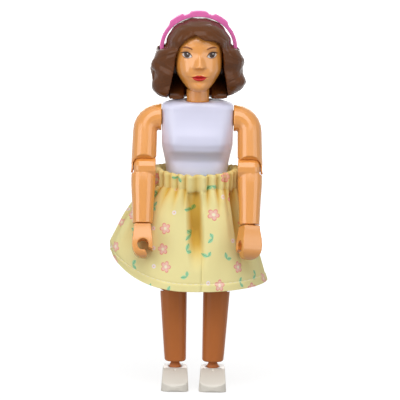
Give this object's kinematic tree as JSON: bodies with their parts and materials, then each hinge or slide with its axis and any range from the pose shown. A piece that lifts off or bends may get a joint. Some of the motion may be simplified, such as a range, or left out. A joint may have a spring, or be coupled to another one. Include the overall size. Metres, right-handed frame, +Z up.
{
  "type": "miniature doll",
  "caption": "Jointed miniature doll with moulded hair, a headband, gripping hands and a gathered cloth skirt, posable at neck, arms, hips, knees and ankles.",
  "frame": {"origin": "floor level under the centre of the doll's box", "axes": "+Z up along the body, the doll faces -Y, +X is the doll's left"},
  "size_m": [0.0442, 0.0286, 0.1045],
  "materials": {
    "skin": "satin moulded plastic",
    "leg": "satin moulded plastic",
    "top": "glossy moulded plastic",
    "hair": "glossy moulded plastic",
    "band": "glossy moulded plastic",
    "shoe": "satin moulded plastic",
    "pin": "plain moulded plastic",
    "cloth": "thin woven cotton with a scattered flower print",
    "elastic": "woven elastic tape"
  },
  "bodies": {
    "body": {"torso_front": "top", "torso_back": "top", "neck_post": "skin", "pelvis": "top", "hip_axle": "pin", "waistband": "cloth", "waist_elastic": "elastic", "skirt": "cloth"},
    "head": {"head": "skin", "hair": "hair", "headband": "band"},
    "right upper arm": {"right_upper_arm": "skin", "right_elbow_pin": "pin"},
    "right forearm": {"right_forearm": "skin"},
    "right hand": {"right_hand": "skin"},
    "right thigh": {"right_thigh": "leg", "right_knee_pin": "pin"},
    "right shin": {"right_shin": "leg", "right_ankle_post": "leg"},
    "right shoe": {"right_shoe": "shoe"},
    "left upper arm": {"left_upper_arm": "skin", "left_elbow_pin": "pin"},
    "left forearm": {"left_forearm": "skin"},
    "left hand": {"left_hand": "skin"},
    "left thigh": {"left_thigh": "leg", "left_knee_pin": "pin"},
    "left shin": {"left_shin": "leg", "left_ankle_post": "leg"},
    "left shoe": {"left_shoe": "shoe"}
  },
  "joints": [
    {"name": "neck_turn", "type": "hinge", "parent": "body", "child": "head", "pos_m": [0.00249, 0.00141, 0.08325], "axis": [0, 0, 1], "range_deg": [-90, 90]},
    {"name": "right_shoulder", "type": "hinge", "parent": "body", "child": "right upper arm", "pos_m": [-0.0072, 0.00141, 0.075], "axis": [-1, 0, 0], "range_deg": [-80, 90], "deforming": ["skirt", "waistband"]},
    {"name": "right_elbow", "type": "hinge", "parent": "right upper arm", "child": "right forearm", "pos_m": [-0.01205, -0.00342, 0.06175], "axis": [-1, 0, 0], "range_deg": [0, 75]},
    {"name": "right_wrist", "type": "hinge", "parent": "right forearm", "child": "right hand", "pos_m": [-0.01205, -0.00868, 0.04728], "axis": [0, -0.342, -0.9397], "continuous": true},
    {"name": "right_hip", "type": "hinge", "parent": "body", "child": "right thigh", "pos_m": [-0.0035, 0.00141, 0.0479], "axis": [-1, 0, 0], "range_deg": [-20, 90], "deforming": ["skirt"]},
    {"name": "right_knee", "type": "hinge", "parent": "right thigh", "child": "right shin", "pos_m": [-0.0035, 0.00141, 0.0299], "axis": [1, 0, 0], "range_deg": [0, 90], "deforming": ["skirt"]},
    {"name": "right_ankle", "type": "hinge", "parent": "right shin", "child": "right shoe", "pos_m": [-0.00265, 0.00141, 0], "axis": [0, 0, -1], "range_deg": [-8, 45]},
    {"name": "left_shoulder", "type": "hinge", "parent": "body", "child": "left upper arm", "pos_m": [0.01219, 0.00141, 0.075], "axis": [-1, 0, 0], "range_deg": [-80, 90], "deforming": ["skirt", "waistband"]},
    {"name": "left_elbow", "type": "hinge", "parent": "left upper arm", "child": "left forearm", "pos_m": [0.01705, -0.00342, 0.06175], "axis": [-1, 0, 0], "range_deg": [0, 75]},
    {"name": "left_wrist", "type": "hinge", "parent": "left forearm", "child": "left hand", "pos_m": [0.01705, -0.00868, 0.04728], "axis": [0, -0.342, -0.9397], "continuous": true},
    {"name": "left_hip", "type": "hinge", "parent": "body", "child": "left thigh", "pos_m": [0.0085, 0.00141, 0.0479], "axis": [-1, 0, 0], "range_deg": [-20, 90], "deforming": ["skirt"]},
    {"name": "left_knee", "type": "hinge", "parent": "left thigh", "child": "left shin", "pos_m": [0.0085, 0.00141, 0.0299], "axis": [1, 0, 0], "range_deg": [0, 90], "deforming": ["skirt"]},
    {"name": "left_ankle", "type": "hinge", "parent": "left shin", "child": "left shoe", "pos_m": [0.00764, 0.00141, 0], "axis": [0, 0, 1], "range_deg": [-8, 45]}
  ]
}
